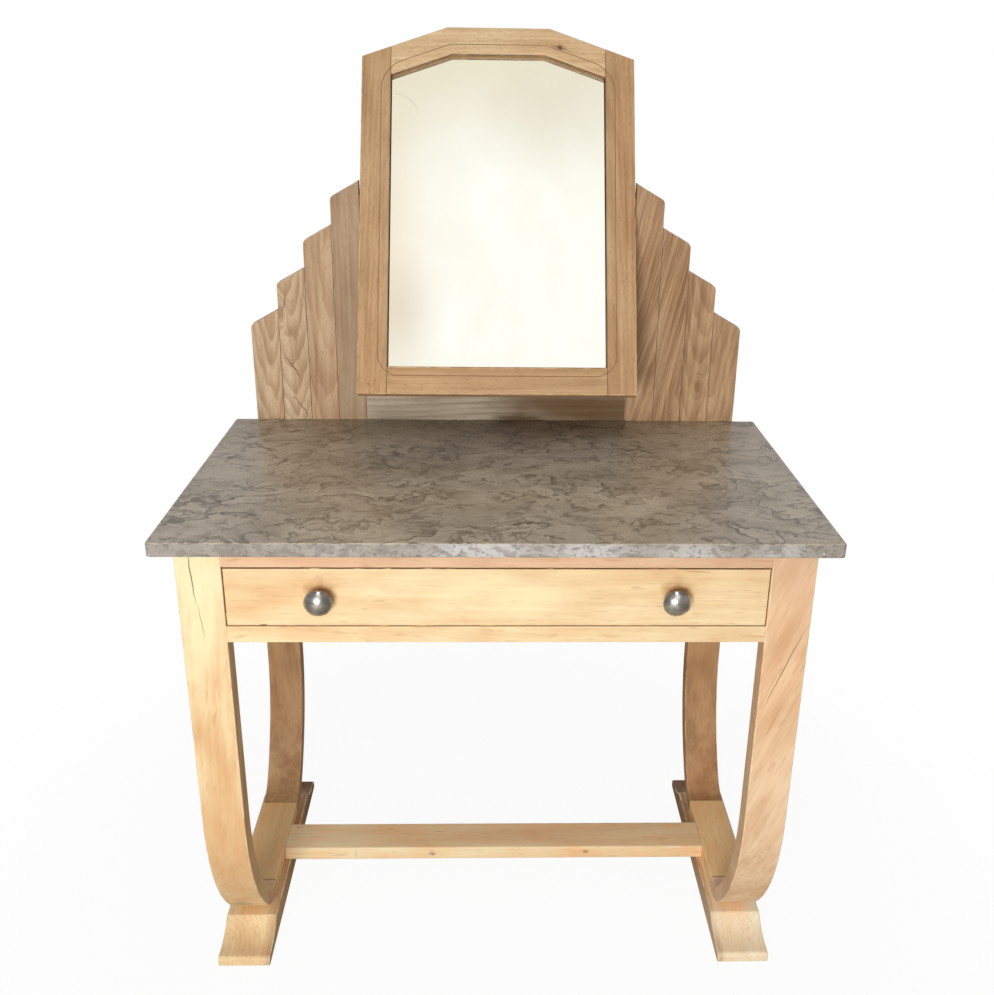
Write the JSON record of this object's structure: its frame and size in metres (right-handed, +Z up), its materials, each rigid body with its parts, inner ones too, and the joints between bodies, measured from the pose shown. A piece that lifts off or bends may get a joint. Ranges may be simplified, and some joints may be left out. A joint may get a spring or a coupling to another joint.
{
  "type": "dressing table",
  "caption": "Dressing table with a marble top over a drawer, U-shaped ends on runner feet, a stepped fan of boards behind and a clipped-top mirror that swings between its wings.",
  "frame": {"origin": "on the floor, under the middle of the whole outline", "axes": "+X to the right of a person who sits at it, +Y to the back, +Z up; the drawer opens towards -Y"},
  "size_m": [0.89, 0.6454, 1.3792],
  "materials": {
    "beech": "matte",
    "oak": "matte",
    "mirror_oak": "matte",
    "drawer_wood": "matte",
    "brace_wood": "matte",
    "plywood": "matte",
    "marble": "satin",
    "pewter": "satin",
    "steel": "satin",
    "brass": "satin",
    "looking_glass": "polished"
  },
  "bodies": {
    "table": {"back_apron": "beech", "back_leg_left": "beech", "back_leg_right": "beech", "drawer_guide_left": "drawer_wood", "drawer_guide_right": "drawer_wood", "drawer_kicker_left": "drawer_wood", "drawer_kicker_right": "drawer_wood", "drawer_runner_left": "drawer_wood", "drawer_runner_right": "drawer_wood", "drawer_stops": "drawer_wood", "fan_batten_left": "brace_wood", "fan_batten_right": "brace_wood", "fan_board_left_1": "oak", "fan_board_left_2": "oak", "fan_board_left_3": "oak", "fan_board_left_4": "oak", "fan_board_right_1": "oak", "fan_board_right_2": "oak", "fan_board_right_3": "oak", "fan_board_right_4": "oak", "fan_centre_batten": "brace_wood", "fan_centre_rail": "oak", "fan_post_left": "brace_wood", "fan_post_right": "brace_wood", "fan_screws": "steel", "front_bottom_rail": "beech", "front_leg_left": "beech", "front_leg_right": "beech", "front_top_rail": "beech", "marble_top": "marble", "pivot_pin_left": "steel", "pivot_pin_right": "steel", "pivot_washer_left": "brass", "pivot_washer_right": "brass", "runner_foot_left": "beech", "runner_foot_right": "beech", "runner_screws": "steel", "side_apron_left": "beech", "side_apron_right": "beech", "sole_bar_left": "beech", "sole_bar_right": "beech", "sole_dowels": "drawer_wood", "stretcher": "beech"},
    "drawer": {"drawer_back": "drawer_wood", "drawer_bottom": "drawer_wood", "drawer_front": "beech", "drawer_knob_left": "pewter", "drawer_knob_right": "pewter", "drawer_side_left": "drawer_wood", "drawer_side_right": "drawer_wood", "knob_screws": "steel"},
    "mirror": {"backing_strips": "brace_wood", "mirror_backing": "plywood", "mirror_foot_rail": "mirror_oak", "mirror_glass": "looking_glass", "mirror_head_rail": "mirror_oak", "mirror_stile_left": "mirror_oak", "mirror_stile_right": "mirror_oak", "pivot_bush_left": "brass", "pivot_bush_right": "brass"}
  },
  "joints": [
    {"name": "drawer_slide", "type": "slide", "parent": "table", "child": "drawer", "axis": [0, -1, 0], "range_m": [0, 0.3]},
    {"name": "mirror_swing", "type": "hinge", "parent": "table", "child": "mirror", "pos_m": [0, 0.18985, 1.118], "axis": [1, 0, 0], "range_deg": [-34, 56]}
  ]
}
